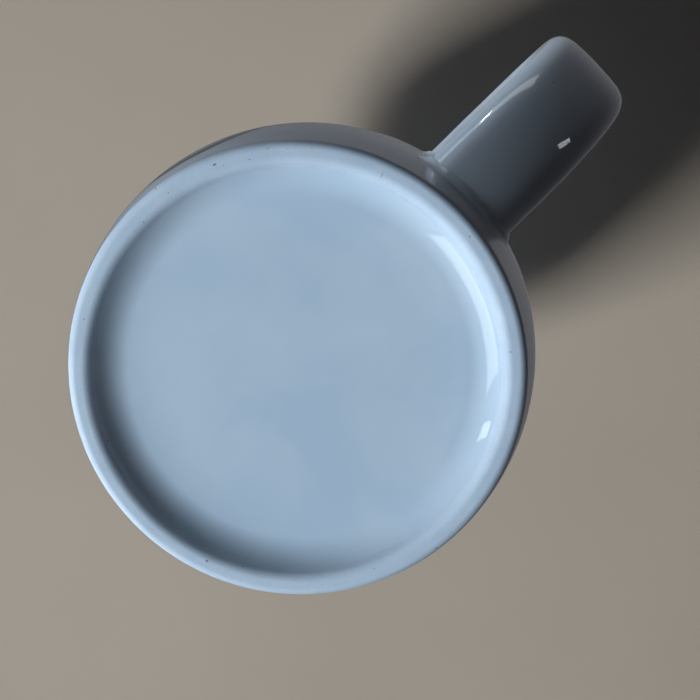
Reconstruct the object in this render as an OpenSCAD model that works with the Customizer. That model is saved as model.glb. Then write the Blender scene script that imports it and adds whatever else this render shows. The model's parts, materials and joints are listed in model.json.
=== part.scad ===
// Glazed stoneware mug with a strap handle.
// Units are millimetres, +Z up. The foot stands on z = 0 and the handle reaches
// along +X. The origin is under the middle of the whole mug, handle included.
//
// The clay cup is one turned body. Three coats of glaze lie on it: one inside,
// one outside and one in the recess under the base. The foot ring is wiped
// clean of glaze, so it shows bare clay. The strap handle is luted on with slip
// at an upper and a lower joint.

/* [Cup] */

// Height from the foot to the lip
cup_height = 95; // [80:1:120]
// Outer radius of the straight wall
body_r = 41.5; // [38:0.5:48]
// Wall thickness, also twice the radius of the rounded lip
wall_t = 4; // [3:0.5:6]
// Height above which the wall is straight
belly_height = 28; // [20:1:40]
// Thickness of the floor between the inside and the base recess
floor_t = 5.5; // [4:0.5:8]
// Radius of the rounded corner inside, where the wall meets the floor
inner_corner_r = 8; // [4:0.5:12]

/* [Foot] */

// Outer radius of the foot ring
foot_r = 38; // [38:0.5:40]
// Radius of the mouth of the recess under the base
recess_r = 34.8; // [33:0.2:35.2]
// Depth of the recess
recess_depth = 4; // [3:0.5:5]
// Radius of the cove that leads from the flat of the recess up to the ring
cove_r = 6.4; // [6:0.2:9]
// Height of the band that is wiped clean of glaze
bare_height = 1.8; // [1.4:0.2:2.4]
// Rounding of the ring's outer edge
foot_outer_round = 1.5; // [1:0.1:2]
// Rounding of the ring's inner edge
foot_inner_round = 1.8; // [0.8:0.1:1.8]

/* [Glaze] */

// Thickness of each coat of glaze
glaze_t = 0.5; // [0.3:0.1:0.8]

/* [Handle] */

// Width of the strap
strap_w = 18.8; // [16:0.4:24]
// Thickness of the strap
strap_t = 8; // [6:0.5:9]
// Height of the middle of the lower arm
lower_arm_z = 17.5; // [16:0.5:22]
// Distance from the cup's axis to where the lower bend starts
lower_arm_x = 45; // [44:0.5:50]
// Radius of the lower bend, along the strap's middle
lower_bend_r = 26; // [20:1:28]
// Length of the upright grip between the two bends
grip_length = 9; // [2:1:14]
// Radius of the upper bend, along the strap's middle
upper_bend_r = 25; // [20:1:26]

/* [Joints] */

// Radius of the slip fillet round each end of the strap
joint_fillet_r = 3.4; // [3.2:0.2:3.6]
// How far the fillet's wide end stands off the wall beyond the strap's edges
joint_lift = 0.9; // [0.8:0.1:1]

/* [Hidden] */

$fn = 144;
eps = 0.01;
belly_steps = 12;

clay_colour = [0.80, 0.76, 0.70];
bare_colour = [0.86, 0.85, 0.83];
inner_colour = [0.90, 0.92, 0.94];
outer_colour = [0.82, 0.88, 0.93];
base_colour = [0.74, 0.84, 0.92];
handle_colour = [0.78, 0.82, 0.90];
joint_colour = [0.66, 0.72, 0.82];

// Wall. The lower part is an arc that is upright where the straight wall starts.
belly_r = (pow(belly_height, 2) + pow(body_r - foot_r, 2)) / (2 * (body_r - foot_r));
lip_r = wall_t / 2;
lip_z = cup_height - lip_r;
inside_r = body_r - wall_t;
inside_z = recess_depth + floor_t;

// Centre of the cove's arc. It meets the flat smoothly and is recess_r out at z = 0.
cove_z = recess_depth - cove_r;
cove_x = recess_r - sqrt(pow(cove_r, 2) - pow(cove_z, 2));

// Where one coat of glaze stops and the next starts, inside the clay between them.
// split_gap is the clay between the inside coat and that line.
split_gap = 0.6;
base_split_r = (recess_r + foot_r) / 2;
base_split_z = recess_depth + floor_t / 2;
belly_split_r = inside_r + glaze_t + split_gap;

// Longer than any section is wide, for cuts that run right past it
reach = 2 * body_r;

// How far the cut of a rounded edge runs past the faces, as a share of its radius
cut_past = 0.5;

// Handle, along the strap's middle
arm_start_x = inside_r;
grip_x = lower_arm_x + lower_bend_r;
grip_z = lower_arm_z + lower_bend_r;
upper_arm_x = grip_x - upper_bend_r;
upper_arm_z = grip_z + grip_length + upper_bend_r;

// The mug's axis stands behind the origin, so that the origin is under the
// middle of the whole outline.
handle_reach = grip_x + strap_t / 2;
axis_x = (body_r - handle_reach) / 2;

module placed() { translate([axis_x, 0, 0]) children(); }

// ---- Sections of the cup, right of its axis. inset is measured inwards from
// the glazed surface.

// The wall's outer radius at height z, below the straight wall
function belly_x(z, inset) =
    body_r - belly_r + sqrt(pow(belly_r - inset, 2) - pow(belly_height - z, 2));

// The wall's outer outline up to the lip, filled to the axis
module outline(inset) {
    polygon(concat(
        [[0, 0]],
        [for (i = [0 : belly_steps])
            let (z = belly_height * i / belly_steps) [belly_x(z, inset), z]],
        [[body_r - inset, lip_z], [0, lip_z]]));
}

// The space inside the cup, open at the top
module cavity(inset) {
    translate([0, inside_z - inset])
        square([inside_r - inner_corner_r, cup_height]);
    translate([0, inside_z + inner_corner_r]) square([inside_r + inset, cup_height]);
    translate([inside_r - inner_corner_r, inside_z + inner_corner_r])
        circle(inner_corner_r + inset);
}

// The recess under the base, with its concave cove
module recess(inset) {
    translate([0, -eps]) square([cove_x, recess_depth + inset + eps]);
    translate([cove_x, cove_z]) circle(cove_r + inset);
}

// What rounding an edge of radius r about centre takes off. foot and wall are
// where the rounding meets the face at z = 0 and the face beside it.
module edge_cut(centre, foot, wall, r) {
    corner = [wall[0] + (wall[0] - centre[0]) * cut_past, foot[1] - r * cut_past];
    difference() {
        polygon([centre, foot, [foot[0], corner[1]], corner, [corner[0], wall[1]], wall]);
        translate(centre) circle(r);
    }
}

// The outer edge of the foot, between its face and the leaning wall
module outer_edge_cut() {
    lean = asin(belly_height / belly_r);
    x = foot_r - foot_outer_round * tan((90 - lean) / 2);
    edge_cut([x, foot_outer_round], [x, 0],
             [x + foot_outer_round * cos(lean), foot_outer_round * (1 - sin(lean))],
             foot_outer_round);
}

// The inner edge of the foot, between its face and the cove
module inner_edge_cut() {
    apart = cove_r + foot_inner_round;
    x = cove_x + sqrt(pow(apart, 2) - pow(foot_inner_round - cove_z, 2));
    share = cove_r / apart;
    edge_cut([x, foot_inner_round], [x, 0],
             [cove_x + (x - cove_x) * share, cove_z + (foot_inner_round - cove_z) * share],
             foot_inner_round);
}

// The wall, floor and lip as one section
module cup_section(inset) {
    difference() {
        outline(inset);
        cavity(inset);
        recess(inset);
        if (inset == 0) {
            outer_edge_cut();
            inner_edge_cut();
        }
    }
    translate([body_r - lip_r, lip_z]) circle(lip_r - inset);
}

module above_bare() { translate([0, bare_height]) square([reach, reach * 2]); }

module glaze_section() {
    difference() {
        intersection() { cup_section(0); above_bare(); }
        cup_section(glaze_t);
    }
}

module outside_half() {
    translate([base_split_r, 0]) square([reach, base_split_z]);
    translate([belly_split_r, base_split_z]) square([reach, belly_height - base_split_z]);
    translate([body_r - lip_r, belly_height]) square([reach, reach]);
}

module base_half() { square([base_split_r, base_split_z]); }

// ---- The strap. Each length lies along the X axis or bends up from it.

// The strap's section: flat faces and fully rounded edges
module strap_section() {
    square([strap_t, strap_w - strap_t], center = true);
    for (side = [-1, 1])
        translate([0, side * (strap_w - strap_t) / 2]) circle(strap_t / 2);
}

// A straight arm from inside the wall out to x, at height z
module arm(x, z) {
    translate([arm_start_x, 0, z]) rotate([0, 90, 0])
        linear_extrude(x - arm_start_x) strap_section();
}

// A quarter bend of radius r about (x, z) in the XZ plane, starting at an angle
module bend(x, z, r, from) {
    translate([x, 0, z]) rotate([90, 0, 0])
        rotate([0, 0, from]) rotate_extrude(angle = 90)
            translate([r, 0]) strap_section();
}

module strap() {
    arm(lower_arm_x, lower_arm_z);
    bend(lower_arm_x, grip_z, lower_bend_r, -90);
    translate([grip_x, 0, grip_z]) linear_extrude(grip_length) strap_section();
    bend(upper_arm_x, grip_z + grip_length, upper_bend_r, 0);
    arm(upper_arm_x, upper_arm_z);
}

module cup_solid() { rotate_extrude() outline(0); }

// ---- The slip fillet round one end of the strap

module fillet_section() {
    difference() {
        square(joint_fillet_r);
        translate([joint_fillet_r, joint_fillet_r]) circle(joint_fillet_r);
    }
}

// The strap's section grown all round
module grown_section(by) {
    thick = strap_t + 2 * by;
    square([thick, strap_w - strap_t], center = true);
    for (side = [-1, 1])
        translate([0, side * (strap_w - strap_t) / 2]) circle(thick / 2);
}

// The fillet along the X axis round a strap that isn't there, with its wide end
// at x = 0 and a flange behind that
module fillet_ring() {
    flat = strap_w - strap_t;
    for (side = [-1, 1]) {
        translate([0, side * flat / 2, 0]) rotate([0, 90, 0])
            rotate_extrude() translate([strap_t / 2, 0]) fillet_section();
        rotate([90, 0, 0]) linear_extrude(flat, center = true)
            scale([1, side]) translate([0, strap_t / 2])
                mirror([1, -1]) fillet_section();
    }
    rotate([0, 90, 0]) translate([0, 0, -joint_fillet_r])
        linear_extrude(joint_fillet_r) grown_section(joint_fillet_r);
    rotate([0, 90, 0]) linear_extrude(joint_fillet_r) grown_section(0);
}

// The slip joint at height z. It starts far enough in to stay on the curved wall
// beyond the strap's edges.
module joint(z) {
    edge_y = strap_w / 2 + joint_fillet_r;
    foot_x = sqrt(pow(body_r, 2) - pow(edge_y, 2)) + joint_lift;
    difference() {
        translate([foot_x, 0, z]) fillet_ring();
        cup_solid();
        arm(lower_arm_x, z);
    }
}

// ---- Nodes

module cup_body() {
    color(clay_colour) placed() rotate_extrude()
        intersection() { cup_section(glaze_t); above_bare(); }
}

module foot_ring() {
    color(bare_colour) placed() rotate_extrude()
        intersection() { cup_section(0); square([reach, bare_height]); }
}

module inner_glaze() {
    color(inner_colour) placed() rotate_extrude()
        difference() { glaze_section(); outside_half(); base_half(); }
}

module outer_glaze() {
    color(outer_colour) placed() rotate_extrude()
        intersection() { glaze_section(); outside_half(); }
}

module base_glaze() {
    color(base_colour) placed() rotate_extrude()
        intersection() { glaze_section(); base_half(); }
}

module handle() {
    color(handle_colour) placed() difference() { strap(); cup_solid(); }
}

module lower_handle_joint() { color(joint_colour) placed() joint(lower_arm_z); }

module upper_handle_joint() { color(joint_colour) placed() joint(upper_arm_z); }

cup_body();
foot_ring();
inner_glaze();
outer_glaze();
base_glaze();
handle();
lower_handle_joint();
upper_handle_joint();
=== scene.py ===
"""A glazed stoneware mug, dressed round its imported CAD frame."""

import json
import math

import bpy
import numpy as np
from mathutils import Matrix, Vector, noise

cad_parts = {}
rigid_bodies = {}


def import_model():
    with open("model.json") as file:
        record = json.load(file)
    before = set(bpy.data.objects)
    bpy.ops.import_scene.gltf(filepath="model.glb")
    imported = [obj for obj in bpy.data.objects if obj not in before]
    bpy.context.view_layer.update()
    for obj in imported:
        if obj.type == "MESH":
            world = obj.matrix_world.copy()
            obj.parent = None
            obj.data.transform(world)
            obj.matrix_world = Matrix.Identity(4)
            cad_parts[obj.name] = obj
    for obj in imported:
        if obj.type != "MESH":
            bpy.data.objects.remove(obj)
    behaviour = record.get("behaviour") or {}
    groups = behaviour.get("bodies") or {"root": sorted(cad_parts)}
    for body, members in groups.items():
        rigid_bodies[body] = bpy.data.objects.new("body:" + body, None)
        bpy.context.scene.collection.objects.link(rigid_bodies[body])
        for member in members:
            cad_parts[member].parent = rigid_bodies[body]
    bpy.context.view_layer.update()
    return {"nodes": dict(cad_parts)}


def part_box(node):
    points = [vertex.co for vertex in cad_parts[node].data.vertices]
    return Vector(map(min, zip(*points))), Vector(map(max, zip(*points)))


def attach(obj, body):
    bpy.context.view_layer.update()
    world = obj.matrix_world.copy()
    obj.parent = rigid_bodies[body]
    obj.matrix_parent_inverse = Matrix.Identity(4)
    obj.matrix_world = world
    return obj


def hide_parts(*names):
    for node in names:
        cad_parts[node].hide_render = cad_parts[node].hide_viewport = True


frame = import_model()
MM = 0.001
TAU = 2 * math.pi
STEPS = 384   # points round the cup's axis

# ---------------------------------------------------------------- sizes, in mm
# The CAD boxes give the outer sizes. The rest repeats part.scad.
body_lo, body_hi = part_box("outer_glaze")
AX = (body_lo.x + body_hi.x) / 2 / MM          # the cup's axis
BODY_R = (body_hi.x - body_lo.x) / 2 / MM
HEIGHT = body_hi.z / MM
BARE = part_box("foot_ring")[1].z / MM           # the glaze line, on top of the bare ring
hand_lo, hand_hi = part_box("handle")
STRAP_W = (hand_hi.y - hand_lo.y) / MM
STRAP_T, EDGE_R = 8.0, 3.5
FOOT_R, RECESS_R, RECESS_D, COVE_R = 38.0, 34.8, 4.0, 6.4
BELLY_Z, WALL, FLOOR_T, CORNER_R = 28.0, 4.0, 5.5, 8.0
OUTER_ROUND, INNER_ROUND, GLAZE = 1.5, 1.8, 0.5
ARM_Z, ARM_X, BEND_LOW, BEND_UP = 17.5, 45.0, 26.0, 25.0
ROOT_X = BODY_R - 1.6       # where the strap's ends stop, inside the cup's wall
GRIP_X = ARM_X + BEND_LOW
GRIP_Z = ARM_Z + BEND_LOW
TOP_ARM_Z = hand_hi.z / MM - STRAP_T / 2
GRIP_LEN = TOP_ARM_Z - BEND_UP - GRIP_Z
BELLY_R = (BELLY_Z ** 2 + (BODY_R - FOOT_R) ** 2) / (2 * (BODY_R - FOOT_R))
LEAN = math.asin(BELLY_Z / BELLY_R)
LIP_R = WALL / 2
LIP_Z = HEIGHT - LIP_R
IN_R = BODY_R - WALL
IN_Z = RECESS_D + FLOOR_T
COVE_Z = RECESS_D - COVE_R
COVE_X = RECESS_R - math.sqrt(COVE_R ** 2 - COVE_Z ** 2)
# The oval whose foot is the dark crescent on the side: the direction of its middle from the
# cup's axis in degrees, then its middle's height, half width and half height.
ARC_AT, ARC_Z, ARC_W, ARC_H = -75, 40.0, 18.0, 30.0
# The glaze's extra depth where the recess's flat meets the cove, half the width of
# that pool, and how far inside the cove the finer points start.
POOL_D, POOL_W, POOL_FROM = 0.10, 3.0, 8
RING_H = 0.003              # the height of the turning rings in the recess
DENT_D, DENT_W = 0.10, 13   # the strap's unevenness: its depth and its width
SHARP = math.radians(40)    # edges turning more than this stay crisp


# ------------------------------------------------------------------- profiles
def arc(cx, cz, r, a0, a1, n):
    """Points of an arc, angles in degrees from +r towards +z."""
    return [(cx + r * math.cos(math.radians(a)), cz + r * math.sin(math.radians(a)))
            for a in np.linspace(a0, a1, n)]


def line(a, b, n):
    """n points from a to b, both ends included."""
    return [(a[0] + (b[0] - a[0]) * t, a[1] + (b[1] - a[1]) * t)
            for t in np.linspace(0, 1, n)]


def belly(z, inset=0.0):
    """The wall's outer radius at height z."""
    if z >= BELLY_Z:
        return BODY_R - inset
    return BODY_R - BELLY_R + math.sqrt((BELLY_R - inset) ** 2 - (BELLY_Z - z) ** 2)


def joined(*parts):
    """The parts end to end, without the points they share."""
    out = []
    for part in parts:
        for p in part:
            if not out or math.dist(p, out[-1]) > 1e-4:
                out.append(p)
    return out


def smooth_noise(p, scale, seed):
    """Fractal noise in about -1..1 at a point in mm, with features about scale mm wide."""
    v = Vector((p[0] / scale + seed, p[1] / scale - seed * 0.7, p[2] / scale + seed * 1.3))
    return noise.fractal(v, 1.0, 2.0, 2)


def mesh_piece(name, verts, faces, mat):
    """A smooth shaded piece on the root body, from points in mm."""
    me = bpy.data.meshes.new(name)
    me.from_pydata([(x * MM, y * MM, z * MM) for x, y, z in verts], [], faces)
    me.validate()
    me.polygons.foreach_set("use_smooth", [True] * len(me.polygons))
    me.set_sharp_from_angle(angle=SHARP)
    ob = bpy.data.objects.new(name, me)
    bpy.context.scene.collection.objects.link(ob)
    me.materials.append(mat)
    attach(ob, "root")
    return ob


def turned(name, profile, mat, shift):
    """A closed profile (r, z) turned about the cup's axis. shift(r, z, angle) gives how
    far, in mm, a point moves along r and z."""
    verts, faces, n = [], [], len(profile)
    on_axis = [i for i, p in enumerate(profile) if p[0] < 1e-6]
    index = {}
    for i, (r, z) in enumerate(profile):
        if i in on_axis:
            dz = shift(0.0, z, 0.0)[1]
            index[i, 0] = len(verts)
            verts.append((AX, 0.0, z + dz))
            for k in range(1, STEPS):
                index[i, k] = index[i, 0]
            continue
        for k in range(STEPS):
            a = TAU * k / STEPS
            dr, dz = shift(r, z, a)
            index[i, k] = len(verts)
            verts.append((AX + (r + dr) * math.cos(a), (r + dr) * math.sin(a), z + dz))
    for i in range(n):
        j = (i + 1) % n
        if i in on_axis and j in on_axis:
            continue
        for k in range(STEPS):
            m = (k + 1) % STEPS
            quad = [index[i, k], index[i, m], index[j, m], index[j, k]]
            face = list(dict.fromkeys(quad))
            if len(face) > 2:
                faces.append(face)
    return mesh_piece(name, verts, faces, mat)


# ------------------------------------------------------------------ materials
def new_material(name):
    """An empty material: itself, its node tree and its shader."""
    m = bpy.data.materials.new(name)
    m.use_nodes = True
    nt = m.node_tree
    nt.nodes.clear()
    out = nt.nodes.new("ShaderNodeOutputMaterial")
    p = nt.nodes.new("ShaderNodeBsdfPrincipled")
    nt.links.new(p.outputs[0], out.inputs["Surface"])
    return m, nt, p


class Nodes:
    """Short calls for building a node tree."""

    def __init__(self, nt):
        self.nt = nt
        self.at = nt.nodes.new("ShaderNodeTexCoord").outputs["Object"]

    def link(self, value, socket):
        """Feed a socket from another socket, or set it to a plain value."""
        if isinstance(value, bpy.types.NodeSocket):
            self.nt.links.new(value, socket)
        else:
            socket.default_value = value

    def math(self, op, a, b=0.0):
        n = self.nt.nodes.new("ShaderNodeMath")
        n.operation = op
        self.link(a, n.inputs[0])
        self.link(b, n.inputs[1])
        return n.outputs[0]

    def ramp(self, value, lo, hi, a=0.0, b=1.0):
        """value from lo..hi to a..b, smoothly and clamped."""
        n = self.nt.nodes.new("ShaderNodeMapRange")
        n.interpolation_type = "SMOOTHSTEP"
        self.link(value, n.inputs[0])
        for i, v in enumerate((lo, hi, a, b)):
            self.link(v, n.inputs[i + 1])
        return n.outputs[0]

    def noise(self, scale, detail, rough=0.5, distort=0.0):
        """Noise with features about scale mm wide."""
        n = self.nt.nodes.new("ShaderNodeTexNoise")
        self.nt.links.new(self.at, n.inputs["Vector"])
        n.inputs["Scale"].default_value = 1 / (scale * MM)
        n.inputs["Detail"].default_value = detail
        n.inputs["Roughness"].default_value = rough
        n.inputs["Distortion"].default_value = distort
        return n.outputs["Fac"]

    def cells(self, scale):
        """Distance to the nearest of scattered points, about scale mm apart."""
        n = self.nt.nodes.new("ShaderNodeTexVoronoi")
        self.nt.links.new(self.at, n.inputs["Vector"])
        n.inputs["Scale"].default_value = 1 / (scale * MM)
        return n.outputs["Distance"]

    def mix(self, fac, a, b):
        """Colour a where fac is 0 and colour b where it is 1."""
        n = self.nt.nodes.new("ShaderNodeMix")
        n.data_type = "RGBA"
        self.link(fac, n.inputs[0])
        self.link(a if isinstance(a, bpy.types.NodeSocket) else (*a, 1.0), n.inputs[6])
        self.link(b if isinstance(b, bpy.types.NodeSocket) else (*b, 1.0), n.inputs[7])
        return n.outputs[2]

    def bump(self, height, distance, strength, normal=None):
        """A surface roughened by height, up to distance mm deep."""
        n = self.nt.nodes.new("ShaderNodeBump")
        n.inputs["Strength"].default_value = strength
        n.inputs["Distance"].default_value = distance * MM
        self.link(height, n.inputs["Height"])
        if normal is not None:
            self.link(normal, n.inputs["Normal"])
        return n.outputs[0]

    def polar(self):
        """Radius, angle and height about the cup's axis."""
        n = self.nt.nodes.new("ShaderNodeSeparateXYZ")
        self.nt.links.new(self.at, n.inputs[0])
        x = self.math("SUBTRACT", n.outputs[0], AX * MM)
        y, z = n.outputs[1], n.outputs[2]
        r = self.math("SQRT", self.math("ADD", self.math("MULTIPLY", x, x),
                                        self.math("MULTIPLY", y, y)))
        return r, self.math("ARCTAN2", y, x), z


# Colours of the glaze, then of the bare clay, the hidden clay, and the specks and the dark
# crescent on the side.
WHITE, COOL = (0.74, 0.79, 0.86), (0.65, 0.73, 0.83)
BARE_PALE, BARE_DEEP, BARE_GRAIN = (0.73, 0.78, 0.86), (0.67, 0.73, 0.82), (0.54, 0.60, 0.68)
CLAY_PALE, CLAY_DEEP = (0.62, 0.58, 0.52), (0.55, 0.50, 0.44)
IRON, DIRT, DARK_MARK = (0.16, 0.15, 0.15), (0.10, 0.09, 0.10), (0.03, 0.035, 0.045)
GLOSS, GLAZE_IOR, SHEEN = 0.035, 1.5, 0.35


def glaze(name, specks=1.0, marking=None):
    """A thick clear gloss over white slip: faint clouds, fine orange peel, rare specks.
    Its last argument, if given, takes (nodes, colour) and adds a dark mark to the colour."""
    m, nt, p = new_material(name)
    n = Nodes(nt)
    cloud = n.ramp(n.noise(26, 3.0, 0.55, distort=0.4), 0.32, 0.70)
    fine = n.ramp(n.noise(4.5, 5.0, 0.6), 0.35, 0.75)
    colour = n.mix(cloud, WHITE, COOL)
    colour = n.mix(n.math("MULTIPLY", fine, 0.22), colour, COOL)
    # rare pinholes and iron specks, 0.2 to 0.5 mm across
    pin = n.math("MULTIPLY", n.ramp(n.cells(5.5), 0.025, 0.045, 1.0, 0.0),
                 n.ramp(n.noise(12, 1.0), 0.54, 0.58))
    colour = n.mix(n.math("MULTIPLY", pin, 0.55 * specks), colour, IRON)
    if marking:
        colour = marking(n, colour)
    nt.links.new(colour, p.inputs["Base Color"])
    p.inputs["Roughness"].default_value = GLOSS
    p.inputs["IOR"].default_value = GLAZE_IOR
    p.inputs["Specular IOR Level"].default_value = SHEEN
    b = n.bump(n.noise(14, 2.0, 0.5), 0.10, 0.5)
    b = n.bump(n.noise(1.9, 2.0, 0.5), 0.008, 0.6, b)
    nt.links.new(b, p.inputs["Normal"])
    return m


# Marks on the ring: angle about the cup's axis in degrees, then radius, half width
# and half length along the radius in mm. The long one is a hairline crack.
MARKS = [(-66, 36.7, 0.34, 0.20), (-90, 35.2, 0.14, 0.12), (-121, 36.2, 0.12, 0.12),
         (-41, 37.1, 0.16, 0.07), (-47, 36.9, 0.12, 0.08), (-52, 37.2, 0.20, 0.07),
         (160, 35.7, 0.26, 0.20), (38, 35.5, 0.14, 0.14), (-22, 35.6, 0.06, 0.55),
         (-57, 35.9, 0.20, 0.08), (-64, 36.0, 0.12, 0.08), (-80, 36.2, 0.13, 0.09),
         (113, 35.6, 0.11, 0.14), (150, 34.6, 0.12, 0.10)]


def marks(n, r, angle):
    """1 inside a mark and 0 elsewhere, with ragged edges."""
    ragged = n.noise(0.25, 2.0)
    found = 0.0
    for degrees, radius, wide, long in MARKS:
        turn = n.math("SUBTRACT", angle, math.radians(degrees))
        across = n.math("MULTIPLY", turn, radius / wide)
        along = n.math("MULTIPLY", n.math("SUBTRACT", r, radius * MM), 1 / (long * MM))
        far = n.math("ADD", n.math("MULTIPLY", across, across),
                     n.math("MULTIPLY", along, along))
        spot = n.ramp(n.math("ADD", far, ragged), 0.9, 1.7, 1.0, 0.0)
        found = n.math("MAXIMUM", spot, found)
    return found


def bare_clay(name):
    """Fired white clay, wiped clean of glaze: matt and finely granular, with dark specks.
    It turns smoother along a wandering line just below its top, where the glaze ends."""
    m, nt, p = new_material(name)
    n = Nodes(nt)
    r, angle, z = n.polar()
    grain = n.noise(0.35, 3.0, 0.6)
    patch = n.ramp(n.noise(7, 3.0, 0.5), 0.35, 0.70)
    colour = n.mix(patch, BARE_PALE, BARE_DEEP)
    colour = n.mix(n.math("MULTIPLY", n.ramp(grain, 0.35, 0.75), 0.25), colour, BARE_GRAIN)
    speck = n.math("MULTIPLY", n.ramp(n.cells(3.4), 0.03, 0.06, 1.0, 0.0),
                   n.ramp(n.noise(6, 1.0), 0.54, 0.60))
    speck = n.math("MAXIMUM", speck, marks(n, r, angle))
    colour = n.mix(n.math("MULTIPLY", speck, 0.75), colour, DIRT)
    nt.links.new(colour, p.inputs["Base Color"])
    wander_by = n.ramp(n.noise(2.6, 3.0, 0.6), 0.3, 0.7, -0.25 * MM, 0.25 * MM)
    glazed = n.ramp(n.math("ADD", z, wander_by), (BARE - 0.9) * MM, (BARE - 0.2) * MM)
    rough = n.ramp(grain, 0.3, 0.7, 0.50, 0.66)
    rough = n.math("MULTIPLY", rough, n.math("SUBTRACT", 1.0, n.math("MULTIPLY", glazed, 0.8)))
    nt.links.new(rough, p.inputs["Roughness"])
    p.inputs["Specular IOR Level"].default_value = SHEEN
    b = n.bump(n.noise(1.6, 2.0), 0.05, 0.5)
    b = n.bump(grain, 0.03, 0.6, b)
    nt.links.new(b, p.inputs["Normal"])
    return m


def fired_clay(name):
    """The cup's own clay, matt and a little grainy. It lies hidden under the glaze."""
    m, nt, p = new_material(name)
    n = Nodes(nt)
    colour = n.mix(n.ramp(n.noise(0.6, 3.0), 0.3, 0.7), CLAY_PALE, CLAY_DEEP)
    nt.links.new(colour, p.inputs["Base Color"])
    p.inputs["Roughness"].default_value = 0.85
    return m


def crescent(n, colour):
    """A dark crescent drawn in the colour of the side: the foot of an oval, its ends thin."""
    angle, z = n.polar()[1:]
    turn = n.math("SUBTRACT", angle, math.radians(ARC_AT))
    across = n.math("MULTIPLY", turn, BODY_R / ARC_W)
    up = n.math("DIVIDE", n.math("SUBTRACT", z, ARC_Z * MM), ARC_H * MM)
    d = n.math("SQRT", n.math("ADD", n.math("MULTIPLY", across, across),
                              n.math("MULTIPLY", up, up)))
    off = n.math("ABSOLUTE", n.math("SUBTRACT", d, 1.0))
    # its uneven edge, and its width, heavy at the foot and gone at the ends
    ragged = n.ramp(n.noise(9.0, 2.0), 0.3, 0.7, -0.008, 0.008)
    heavy = n.ramp(up, -1.0, 0.15, 0.085, -0.014)
    over = n.math("SUBTRACT", n.math("ADD", off, ragged), heavy)
    mark_amount = n.ramp(over, -0.004, 0.006, 0.92, 0.0)
    return n.mix(mark_amount, colour, DARK_MARK)


glaze_outer = glaze("glaze_outer", marking=crescent)
glaze_inner = glaze("glaze_inner")
glaze_base = glaze("glaze_base", specks=0.0)
glaze_handle = glaze("glaze_handle")
glaze_joint = glaze("glaze_joint")
bare = bare_clay("bare_foot")
clay = fired_clay("fired_clay")

# --------------------------------------------------------------------- pieces
def foot_profile():
    """The ring: its rounded crest, and both its sides up to the glaze line."""
    ox = FOOT_R - OUTER_ROUND * math.tan((math.pi / 2 - LEAN) / 2)
    apart = COVE_R + INNER_ROUND
    ix = COVE_X + math.sqrt(apart ** 2 - (INNER_ROUND - COVE_Z) ** 2)
    inner_end = math.degrees(math.atan2(INNER_ROUND - COVE_Z, ix - COVE_X))
    cove_end = math.degrees(math.asin((BARE - COVE_Z) / COVE_R))
    cove_r = COVE_X + COVE_R * math.cos(math.radians(cove_end))
    lean_z = OUTER_ROUND * (1 - math.sin(LEAN))
    return joined(
        arc(ox, OUTER_ROUND, OUTER_ROUND, -90, -math.degrees(LEAN), 16),
        [(belly(z), z) for z in np.linspace(lean_z, BARE, 5)[1:]],
        line((belly(BARE), BARE), (cove_r, BARE), 14),
        arc(COVE_X, COVE_Z, COVE_R, cove_end, inner_end, 12),
        arc(ix, INNER_ROUND, INNER_ROUND, 180 + inner_end, 270, 18),
        line((ix, 0.0), (ox, 0.0), 5)[:-1],
    )


def base_profile():
    """The coat in the recess: the flat, then down the cove to the glaze line. The glaze
    pools where the flat meets the cove, which eases that corner."""
    a = math.degrees(math.asin((BARE - COVE_Z) / COVE_R))
    b = math.degrees(math.asin((BARE - COVE_Z) / (COVE_R + GLAZE)))

    def pool(p):
        away = (p[0] - COVE_X) / POOL_W
        return p[0], p[1] - POOL_D * math.exp(-away * away)

    return joined(
        [pool(p) for p in line((0.0, RECESS_D), (COVE_X - POOL_FROM, RECESS_D), 50)],
        [pool(p) for p in line((COVE_X - POOL_FROM, RECESS_D), (COVE_X, RECESS_D), 30)],
        [pool(p) for p in arc(COVE_X, COVE_Z, COVE_R, 90, a, 44)],
        arc(COVE_X, COVE_Z, COVE_R + GLAZE, b, 90, 14),
        line((COVE_X, RECESS_D + GLAZE), (0.0, RECESS_D + GLAZE), 12),
    )


def outer_profile():
    """The coat outside: up the wall to the middle of the lip, and back along the clay."""
    return joined(
        [(belly(z), z) for z in np.linspace(BARE, BELLY_Z, 50)],
        line((BODY_R, BELLY_Z), (BODY_R, LIP_Z), 90),
        arc(BODY_R - LIP_R, LIP_Z, LIP_R, 0, 90, 16),
        arc(BODY_R - LIP_R, LIP_Z, LIP_R - GLAZE, 90, 0, 8),
        line((BODY_R - GLAZE, LIP_Z), (BODY_R - GLAZE, BELLY_Z), 20),
        [(belly(z, GLAZE), z) for z in np.linspace(BELLY_Z, BARE, 20)],
    )


def inner_profile():
    """The coat inside: from the middle of the lip down to the axis, and back."""
    cx, cz = IN_R - CORNER_R, IN_Z + CORNER_R
    return joined(
        arc(BODY_R - LIP_R, LIP_Z, LIP_R, 90, 180, 16),
        line((IN_R, LIP_Z), (IN_R, cz), 90),
        arc(cx, cz, CORNER_R, 0, -90, 24),
        line((cx, IN_Z), (0.0, IN_Z), 60),
        line((0.0, IN_Z - GLAZE), (cx, IN_Z - GLAZE), 10),
        arc(cx, cz, CORNER_R + GLAZE, -90, 0, 10),
        line((IN_R + GLAZE, cz), (IN_R + GLAZE, LIP_Z), 20),
        arc(BODY_R - LIP_R, LIP_Z, LIP_R - GLAZE, 180, 90, 8),
    )


def wander(amount, scale, seed, seam):
    """A shift for turned(): the surface wanders inwards by up to about amount, but
    stays in place next to a seam at height seam."""
    def shift(r, z, a):
        p = (r * math.cos(a), r * math.sin(a), z)
        uneven = max(-1.0, min(1.0, smooth_noise(p, scale, seed)))
        return -amount * (0.5 + 0.5 * uneven) * min(1.0, abs(z - seam)), 0.0
    return shift


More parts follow.
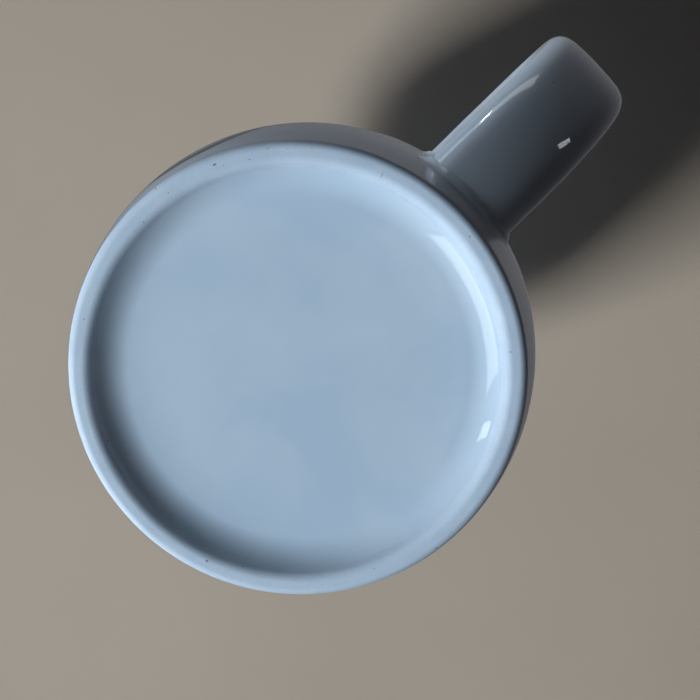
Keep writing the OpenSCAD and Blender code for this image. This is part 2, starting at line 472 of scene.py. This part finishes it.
def sink(amount, scale, seed):
    """A shift for turned() in the recess: the flat is not quite flat, and faint
    turning rings run round it."""
    def shift(r, z, a):
        p = (r * math.cos(a), r * math.sin(a), z)
        rings = RING_H * math.sin(r * 1.7 + 0.8 * math.sin(a)) * min(1.0, r / 8)
        fade = min(1.0, max(0.0, (z - BARE) / (RECESS_D - BARE)))
        return 0.0, (amount * smooth_noise(p, scale, seed) + rings) * fade
    return shift


def strap_path(steps):
    """Points along the strap's middle as (x, z, turn), with x from the cup's axis. turn is
    the direction of travel, 0 outwards and a half turn inwards."""
    out = [(x, ARM_Z, 0.0) for x in np.linspace(ROOT_X, ARM_X, max(4, steps // 8))[:-1]]
    for k in range(steps):
        t = math.pi / 2 * k / steps
        out.append((ARM_X + BEND_LOW * math.sin(t), GRIP_Z - BEND_LOW * math.cos(t), t))
    for z in np.linspace(GRIP_Z, GRIP_Z + GRIP_LEN, max(4, steps // 4))[:-1]:
        out.append((GRIP_X, z, math.pi / 2))
    for k in range(steps):
        t = math.pi / 2 * k / steps
        out.append((GRIP_X - BEND_UP + BEND_UP * math.cos(t),
                    GRIP_Z + GRIP_LEN + BEND_UP * math.sin(t), math.pi / 2 + t))
    out += [(x, TOP_ARM_Z, math.pi)
            for x in np.linspace(GRIP_X - BEND_UP, ROOT_X, max(4, steps // 8))]
    return out


def strap_outline(t):
    """The strap's section, a slightly crowned bar with round edges: (across, outwards)
    where its outward normal is at angle t, and that normal."""
    c, s = math.cos(t), math.sin(t)
    wide, high = STRAP_W / 2 - EDGE_R, STRAP_T / 2 - EDGE_R
    q = math.hypot(wide * c, high * s)
    return wide * wide * c / q + EDGE_R * c, high * high * s / q + EDGE_R * s, c, s


def even_angles(n):
    """Parameters that step evenly along the section's outline."""
    fine = np.linspace(0, TAU, 4001)
    pts = np.array([strap_outline(t)[:2] for t in fine])
    run = np.concatenate([[0], np.cumsum(np.hypot(*np.diff(pts, axis=0).T))])
    return np.interp(np.arange(n) / n * run[-1], run, fine)


def strap():
    """The pulled strap: its section swept along its path, a little uneven by hand."""
    around = even_angles(128)
    path = strap_path(72)
    verts, faces, n = [], [], len(around)
    for x, z, turn in path:
        for t in around:
            across, out, na, no = strap_outline(t)
            p = (x, across, z + out)
            dent = -DENT_D * (0.5 + 0.5 * smooth_noise(p, DENT_W, 3.1))
            across, out = across + na * dent, out + no * dent
            # outwards is to the right of the direction of travel
            verts.append((AX + x + out * math.sin(turn), across, z - out * math.cos(turn)))
    for i in range(len(path) - 1):
        for k in range(n):
            m = (k + 1) % n
            faces.append([i * n + k, i * n + m, (i + 1) * n + m, (i + 1) * n + k])
    faces.append(list(range(n))[::-1])
    faces.append(list(range((len(path) - 1) * n, len(path) * n)))
    return mesh_piece("strap_handle", verts, faces, glaze_handle)


# The slip joint's profile: distance from the strap, and height off the wall, in mm.
# It rises gently from the wall, rounds over beside the strap and dips against it.
# SLIP_BACK closes it inside the strap and the wall. SLIP_GROW and SLIP_LIFT are how much
# its width and height vary, and over how many mm.
SLIP = [(2.10, -0.06), (1.75, 0.02), (1.38, 0.12), (1.04, 0.30), (0.76, 0.56), (0.54, 0.84),
        (0.38, 1.04), (0.24, 1.12), (0.11, 1.06), (0.02, 0.88), (-0.08, 0.62)]
SLIP_BACK = [(-0.60, 0.10), (0.40, -0.55), (1.90, -0.55)]
SLIP_GROW, SLIP_LIFT = (0.16, 7.0), (0.14, 6.0)


def slip_joint(name, z0, seed):
    """Slip smoothed by hand round one end of the strap."""
    around = even_angles(180)
    rows = SLIP + SLIP_BACK
    verts, faces, n = [], [], len(rows)
    for t in around:
        across, out, na, no = strap_outline(t)
        grow = 1.0 + SLIP_GROW[0] * smooth_noise((across, out, z0), SLIP_GROW[1], seed)
        lift = 1.0 + SLIP_LIFT[0] * smooth_noise((across, out, z0 + 9), SLIP_LIFT[1], seed + 5)
        for off, up in rows:
            if off > 0:
                off, up = off * grow, up * lift
            y, z = across + na * off, z0 + out + no * off
            r = belly(z) if z < BELLY_Z else BODY_R
            verts.append((AX + math.sqrt(r * r - y * y) + up, y, z))
    for k in range(len(around)):
        m = (k + 1) % len(around)
        for i in range(n):
            j = (i + 1) % n
            faces.append([k * n + i, m * n + i, m * n + j, k * n + j])
    return mesh_piece(name, verts, faces, glaze_joint)


foot = turned("foot_ring_bare", foot_profile(), bare, wander(0.05, 9, 1.7, BARE))
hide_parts("foot_ring")
base = turned("base_glaze_coat", base_profile(), glaze_base, sink(0.06, 22, 4.4))
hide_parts("base_glaze")
outer = turned("outer_glaze_coat", outer_profile(), glaze_outer, wander(0.08, 24, 7.9, BARE))
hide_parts("outer_glaze")
inner = turned("inner_glaze_coat", inner_profile(), glaze_inner, wander(0.08, 24, 2.2, HEIGHT))
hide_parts("inner_glaze")
handle = strap()
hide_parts("handle")
for name, node, z, seed in (("lower_slip_joint", "lower_handle_joint", ARM_Z, 0.4),
                            ("upper_slip_joint", "upper_handle_joint", TOP_ARM_Z, 6.1)):
    joint = slip_joint(name, z, seed)
    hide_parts(node)
clay_node = frame["nodes"]["cup_body"]
clay_node.data.materials.clear()
clay_node.data.materials.append(clay)

# --------------------------------------------------------------------- camera
# The photograph looks at the base from below, a little from the handle's side.
TURN = math.radians(44.6)           # the handle's direction in the picture
CAM_AT, AIM_AT = (19.5, 38.3, 213.4), (9.0, 4.2, 0.0)   # in mm, as for seen()
SENSOR, LENS = 36.0, 67.68
CLIP_NEAR, CLIP_FAR = 0.01, 20.0


def seen(x, y, z):
    """A point in mm, across and up the picture and towards the camera from the foot,
    as a point of the scene in metres."""
    c, s = math.cos(TURN), math.sin(TURN)
    return Vector(((AX + c * x + s * y), s * x - c * y, -z)) * MM


def place_camera(at, back, right):
    """The camera at a point, looking against back, with right across its picture."""
    data = bpy.data.cameras.new("camera")
    cam = bpy.data.objects.new("camera", data)
    bpy.context.scene.collection.objects.link(cam)
    bpy.context.scene.camera = cam
    data.sensor_width, data.lens = SENSOR, LENS
    data.clip_start, data.clip_end = CLIP_NEAR, CLIP_FAR
    axes = Matrix((right, back.cross(right), back)).transposed()
    cam.matrix_world = Matrix.Translation(at) @ axes.to_4x4()


cam_at = seen(*CAM_AT)
back = (cam_at - seen(*AIM_AT)).normalized()
right = (seen(0, 1, 0) - seen(0, 0, 0)).normalized().cross(back).normalized()
place_camera(cam_at, back, right)

# ---------------------------------------------------------------------- stage
F = 3.0                              # half the floor's width, in metres
FLOOR_TONE, BACKDROP_TONE = (0.66, 0.64, 0.60), (0.66, 0.60, 0.52)
SHEET_Z = 2 * HEIGHT * MM
OVERSIZE = 1.15                      # how much larger the backdrop is than the view


def one_way(name, colour):
    """A plain pale matt surface that shows from its front only."""
    m, nt, p = new_material(name)
    n = Nodes(nt)
    deeper = tuple(c * 0.97 for c in colour)
    tone = n.mix(n.ramp(n.noise(60, 2.0), 0.3, 0.7), colour, deeper)
    nt.links.new(tone, p.inputs["Base Color"])
    p.inputs["Roughness"].default_value = 0.8
    p.inputs["Specular IOR Level"].default_value = 0.2
    clear = nt.nodes.new("ShaderNodeBsdfTransparent")
    mix = nt.nodes.new("ShaderNodeMixShader")
    nt.links.new(nt.nodes.new("ShaderNodeNewGeometry").outputs["Backfacing"], mix.inputs[0])
    nt.links.new(p.outputs[0], mix.inputs[1])
    nt.links.new(clear.outputs[0], mix.inputs[2])
    nt.links.new(mix.outputs[0], nt.nodes["Material Output"].inputs["Surface"])
    return m


def sheet(name, corners, mat):
    """A flat sheet of the stage. It casts no shadow and no light on the mug, and the
    gloss doesn't show it."""
    me = bpy.data.meshes.new(name)
    me.from_pydata(corners, [], [[0, 1, 2, 3]])
    ob = bpy.data.objects.new(name, me)
    bpy.context.scene.collection.objects.link(ob)
    me.materials.append(mat)
    ob.visible_shadow = ob.visible_diffuse = False
    ob.visible_glossy = ob.visible_transmission = False
    return ob


def backdrop_corners():
    """Corners of a level sheet above the mug, a little larger than the main view there."""
    distance = (SHEET_Z - cam_at.z) / -back.z
    middle = cam_at - back * distance
    half = OVERSIZE * distance * SENSOR / LENS / 2
    side = Vector((right.x, right.y, 0)).normalized() * half
    away = Vector((-side.y, side.x, 0))
    return [middle - side - away, middle - side + away,
            middle + side + away, middle + side - away]


# The floor that the foot stands on faces up, and is clear from below, so that the
# base can be seen through it. The main view looks up at the base. The backdrop, a
# second pale sheet above the mug, lies behind it there, and is clear from above.
sheet("floor", [(-F, -F, 0), (F, -F, 0), (F, F, 0), (-F, F, 0)],
      one_way("floor_pale", FLOOR_TONE))
backdrop = sheet("backdrop", backdrop_corners(), one_way("backdrop_pale", BACKDROP_TONE))

# --------------------------------------------------------------------- lights
# Lamp colours first, then how far each kind of lamp stands off, the height and length
# of the wall's boxes, and the points that lamps face. All lengths are in metres.
DAY, SKY, PANE = (0.77, 0.885, 0.98), (0.53, 0.79, 1.0), (0.90, 0.97, 1.0)
KEY_TONE, STUDIO, WARM = (0.93, 0.97, 1.0), (0.95, 0.98, 1.0), (1.0, 0.99, 0.97)
AWAY, BOX_AWAY, CAST_AWAY = 1.5, 1.4, 1.2
BOX_Z, BOX_H = -0.1, 1.3
centre = Vector((AX * MM, 0, 0))
grip = Vector((hand_hi.x - 0.02, 0, 0.01))
middle_of_mug = (0, 0, 0.05)
joints = tuple(bpy.data.objects[n] for n in ("lower_slip_joint", "upper_slip_joint"))
cup = (foot, base, outer, inner, clay_node) + joints


def area(name, at, to, size, watts, colour):
    """A rectangular lamp, size wide and high, at one point and facing another."""
    d = bpy.data.lights.new(name, "AREA")
    d.shape, d.energy, d.color = "RECTANGLE", watts, colour
    d.size, d.size_y = size
    ob = bpy.data.objects.new(name, d)
    bpy.context.scene.collection.objects.link(ob)
    ob.location = at
    ob.rotation_mode = "QUATERNION"
    ob.rotation_quaternion = (Vector(to) - Vector(at)).to_track_quat("-Z", "Y")
    return ob


def only_on(light, *objects):
    """The light falls on these objects only, but everything casts its shadow."""
    group = bpy.data.collections.new(light.name + "_on")
    for ob in objects:
        group.objects.link(ob)
    light.light_linking.receiver_collection = group


def from_side(azimuth, elevation):
    """A direction as the main view sees it: azimuth anticlockwise from the right of the
    picture, elevation towards the camera."""
    a, e = math.radians(azimuth), math.radians(elevation)
    p = (math.cos(a) * math.cos(e), math.sin(a) * math.cos(e), math.sin(e))
    return (seen(*p) - seen(0, 0, 0)).normalized()


def soft(name, colour, side, size, watts, to=centre):
    """Daylight without an edge: it lights the surface but shows no shape in the gloss."""
    light = area(name, to + from_side(*side) * AWAY, to, size, watts, colour)
    light.visible_glossy = False
    return light


def pane(name, side, size, watts, to=centre):
    """A window's bright shape in the gloss, and nothing else."""
    light = area(name, to + from_side(*side) * AWAY, to, size, watts, PANE)
    light.visible_diffuse = False
    return light


def light_cup():
    """Daylight on the cup, and the two panes that shine in its base."""
    for light in (soft("daylight", DAY, (206, 34), (0.80, 1.0), 17),
                  soft("sky", SKY, (203, 44), (2.6, 0.6), 12.5),
                  soft("low_sky", DAY, (172, -2), (0.6, 0.5), 5)):
        only_on(light, *cup)
    for light in (pane("window", (209, 15), (1.0, 1.6), 26),
                  pane("far_window", (175, 20), (0.13, 0.7), 2.6)):
        only_on(light, base, foot, *joints)


def light_handle():
    """The strap stands in the cup's lee, and gets its light past the cup's side."""
    for light in (soft("past_cup", DAY, (143, 8), (0.7, 0.3), 11.5, grip),
                  pane("band", (104, 12), (2.6, 0.5), 15, grip),
                  pane("spark", (114, 11), (0.20, 0.26), 5.5, grip),
                  pane("glint", (28, 29), (0.09, 0.28), 0.6, grip)):
        only_on(light, handle, *joints)


def light_wall():
    """Tall boxes round the mug that only its gloss shows, for the views from the side."""
    boxes = ((-52, 0.5, 5), (116, 0.3, 3), (265, 0.4, 4))   # direction, width, watts
    for k, (turn, wide, watts) in enumerate(boxes):
        a = math.radians(turn)
        at = (BOX_AWAY * math.sin(a), -BOX_AWAY * math.cos(a), BOX_Z)
        box = area("box_%d" % k, at, middle_of_mug, (wide, BOX_H), watts, PANE)
        box.visible_diffuse = False
        only_on(box, outer)


def light_studio():
    """The backdrop's own lamp, the two soft studio lamps, and one for the inside's gloss."""
    cast_at = centre + from_side(215, 58) * CAST_AWAY
    cast = area("backdrop_light", cast_at, centre, (0.25, 0.25), 9, WARM)
    only_on(cast, backdrop)
    key = area("key", (-0.90, -0.80, 1.45), middle_of_mug, (1.0, 1.0), 12, KEY_TONE)
    key.visible_glossy = False
    top = area("top", (0.65, -0.1, 1.7), middle_of_mug, (1.2, 1.2), 20, STUDIO)
    top.visible_glossy = False
    above = area("above", (0.3, -0.9, 1.4), middle_of_mug, (0.6, 0.6), 8, STUDIO)
    above.visible_diffuse = False
    only_on(above, inner)


def studio_world():
    """A dim room, darker below the mug than above it."""
    world = bpy.data.worlds.new("studio")
    bpy.context.scene.world = world
    world.use_nodes = True
    tree = world.node_tree
    tree.nodes.clear()
    out = tree.nodes.new("ShaderNodeOutputWorld")
    room = tree.nodes.new("ShaderNodeBackground")
    direction = tree.nodes.new("ShaderNodeTexCoord")
    split = tree.nodes.new("ShaderNodeSeparateXYZ")
    tree.links.new(direction.outputs["Generated"], split.inputs[0])
    fade = tree.nodes.new("ShaderNodeMapRange")
    tree.links.new(split.outputs[2], fade.inputs[0])
    for i, v in enumerate((-0.1, 0.6, 0.02, 0.13)):   # from and to heights, then strengths
        fade.inputs[i + 1].default_value = v
    tree.links.new(fade.outputs[0], room.inputs["Strength"])
    room.inputs["Color"].default_value = (0.97, 0.95, 1.0, 1.0)
    tree.links.new(room.outputs[0], out.inputs["Surface"])


light_cup()
light_handle()
light_wall()
light_studio()
studio_world()

view = bpy.context.scene.view_settings
view.view_transform = "Standard"
view.look = "None"
view.exposure = 0.0
